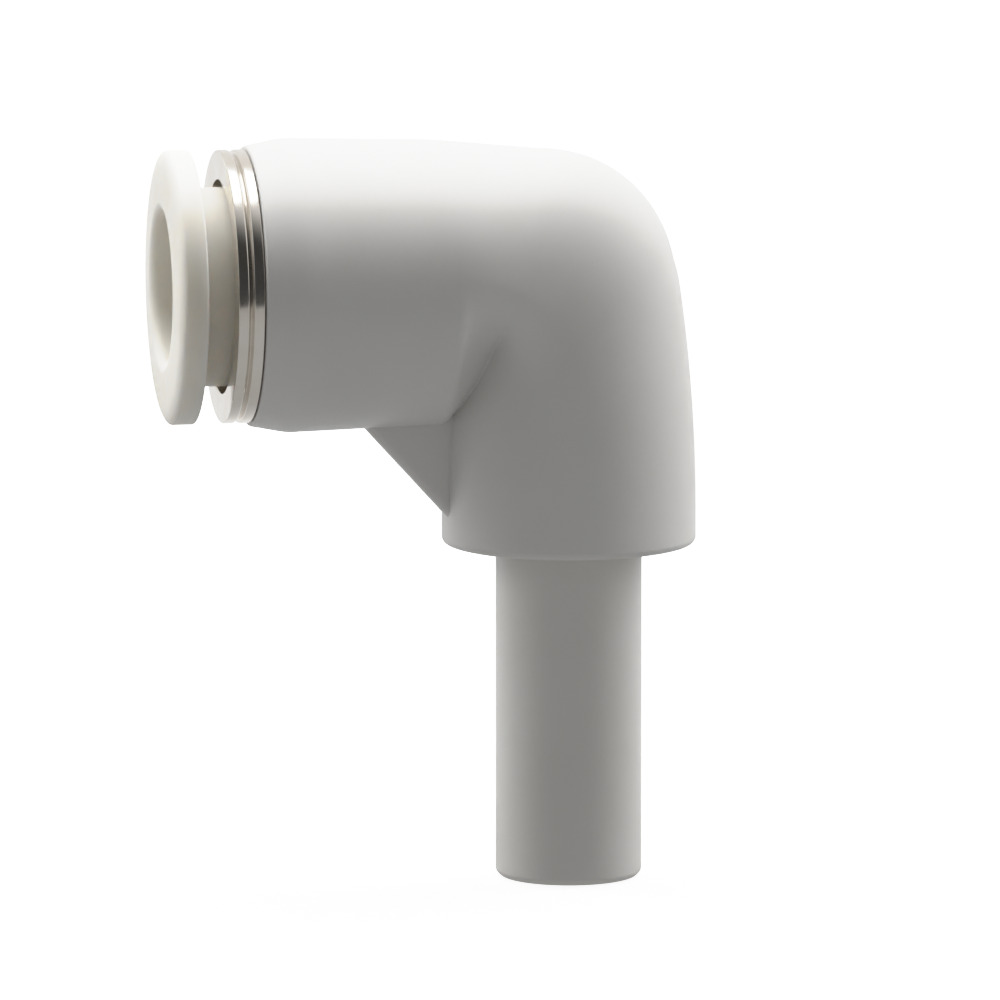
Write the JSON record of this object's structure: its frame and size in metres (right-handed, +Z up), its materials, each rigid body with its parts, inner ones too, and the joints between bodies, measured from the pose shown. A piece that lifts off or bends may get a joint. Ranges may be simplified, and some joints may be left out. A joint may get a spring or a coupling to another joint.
{
  "type": "push to connect fitting",
  "caption": "Plug-in elbow for pneumatic tube: a swivelling moulded elbow on a plug stem, with a push-in tube port, spring claws and a sliding release button.",
  "frame": {"origin": "centre of the plug stem's free end", "axes": "+Z up the stem's axis, -X out of the tube port, the fitting is symmetric about the XZ plane"},
  "size_m": [0.0294, 0.016, 0.0409],
  "materials": {
    "moulded_body": "fine moulded satin, light grey-white",
    "stem_plastic": "smooth moulded satin, light grey-white",
    "release_plastic": "smooth acetal, warm off-white",
    "nickel_plate": "bright nickel plate on brass",
    "spring_stainless": "bright stamped strip",
    "nitrile": "matt black"
  },
  "bodies": {
    "stem": {"plug_stem": "stem_plastic", "stem_o_ring": "nitrile"},
    "elbow": {"elbow_body": "moulded_body", "stem_bush": "stem_plastic", "guide_ring": "nickel_plate", "chuck_rim": "spring_stainless", "seal_spacer": "release_plastic", "lip_seal": "nitrile"},
    "button": {"release_button": "release_plastic"},
    "claw_01": {"chuck_claw_01": "spring_stainless"},
    "claw_02": {"chuck_claw_02": "spring_stainless"},
    "claw_03": {"chuck_claw_03": "spring_stainless"},
    "claw_04": {"chuck_claw_04": "spring_stainless"},
    "claw_05": {"chuck_claw_05": "spring_stainless"},
    "claw_06": {"chuck_claw_06": "spring_stainless"},
    "claw_07": {"chuck_claw_07": "spring_stainless"},
    "claw_08": {"chuck_claw_08": "spring_stainless"},
    "claw_09": {"chuck_claw_09": "spring_stainless"},
    "claw_10": {"chuck_claw_10": "spring_stainless"},
    "claw_11": {"chuck_claw_11": "spring_stainless"},
    "claw_12": {"chuck_claw_12": "spring_stainless"}
  },
  "joints": [
    {"name": "swivel", "type": "hinge", "parent": "stem", "child": "elbow", "pos_m": [0, 0, 0.02075], "axis": [0, 0, 1], "continuous": true},
    {"name": "release_slide", "type": "slide", "parent": "elbow", "child": "button", "axis": [1, 0, 0], "range_m": [0, 0.0014], "stiffness_N_per_m": 3000},
    {"name": "claw_01_bend", "type": "hinge", "parent": "elbow", "child": "claw_01", "pos_m": [-0.01398, 0.00498, 0.03578], "axis": [0, -0.5, 0.866], "range_deg": [0, 16.6]},
    {"name": "claw_02_bend", "type": "hinge", "parent": "elbow", "child": "claw_02", "pos_m": [-0.01398, 0.00287, 0.03788], "axis": [0, -0.866, 0.5], "range_deg": [0, 16.6]},
    {"name": "claw_03_bend", "type": "hinge", "parent": "elbow", "child": "claw_03", "pos_m": [-0.01398, 0, 0.03865], "axis": [0, -1, 0], "range_deg": [0, 16.6]},
    {"name": "claw_04_bend", "type": "hinge", "parent": "elbow", "child": "claw_04", "pos_m": [-0.01398, -0.00287, 0.03788], "axis": [0, -0.866, -0.5], "range_deg": [0, 16.6]},
    {"name": "claw_05_bend", "type": "hinge", "parent": "elbow", "child": "claw_05", "pos_m": [-0.01398, -0.00498, 0.03578], "axis": [0, -0.5, -0.866], "range_deg": [0, 16.6]},
    {"name": "claw_06_bend", "type": "hinge", "parent": "elbow", "child": "claw_06", "pos_m": [-0.01398, -0.00575, 0.0329], "axis": [0, 0, -1], "range_deg": [0, 16.6]},
    {"name": "claw_07_bend", "type": "hinge", "parent": "elbow", "child": "claw_07", "pos_m": [-0.01398, -0.00498, 0.03002], "axis": [0, 0.5, -0.866], "range_deg": [0, 16.6]},
    {"name": "claw_08_bend", "type": "hinge", "parent": "elbow", "child": "claw_08", "pos_m": [-0.01398, -0.00287, 0.02792], "axis": [0, 0.866, -0.5], "range_deg": [0, 16.6]},
    {"name": "claw_09_bend", "type": "hinge", "parent": "elbow", "child": "claw_09", "pos_m": [-0.01398, 0, 0.02715], "axis": [0, 1, 0], "range_deg": [0, 16.6]},
    {"name": "claw_10_bend", "type": "hinge", "parent": "elbow", "child": "claw_10", "pos_m": [-0.01398, 0.00287, 0.02792], "axis": [0, 0.866, 0.5], "range_deg": [0, 16.6]},
    {"name": "claw_11_bend", "type": "hinge", "parent": "elbow", "child": "claw_11", "pos_m": [-0.01398, 0.00498, 0.03002], "axis": [0, 0.5, 0.866], "range_deg": [0, 16.6]},
    {"name": "claw_12_bend", "type": "hinge", "parent": "elbow", "child": "claw_12", "pos_m": [-0.01398, 0.00575, 0.0329], "axis": [0, 0, 1], "range_deg": [0, 16.6]}
  ],
  "couplings": [
    {"joint": "claw_01_bend", "follows": "release_slide", "rad_per_m": 205.7},
    {"joint": "claw_02_bend", "follows": "release_slide", "rad_per_m": 205.7},
    {"joint": "claw_03_bend", "follows": "release_slide", "rad_per_m": 205.7},
    {"joint": "claw_04_bend", "follows": "release_slide", "rad_per_m": 205.7},
    {"joint": "claw_05_bend", "follows": "release_slide", "rad_per_m": 205.7},
    {"joint": "claw_06_bend", "follows": "release_slide", "rad_per_m": 205.7},
    {"joint": "claw_07_bend", "follows": "release_slide", "rad_per_m": 205.7},
    {"joint": "claw_08_bend", "follows": "release_slide", "rad_per_m": 205.7},
    {"joint": "claw_09_bend", "follows": "release_slide", "rad_per_m": 205.7},
    {"joint": "claw_10_bend", "follows": "release_slide", "rad_per_m": 205.7},
    {"joint": "claw_11_bend", "follows": "release_slide", "rad_per_m": 205.7},
    {"joint": "claw_12_bend", "follows": "release_slide", "rad_per_m": 205.7}
  ]
}
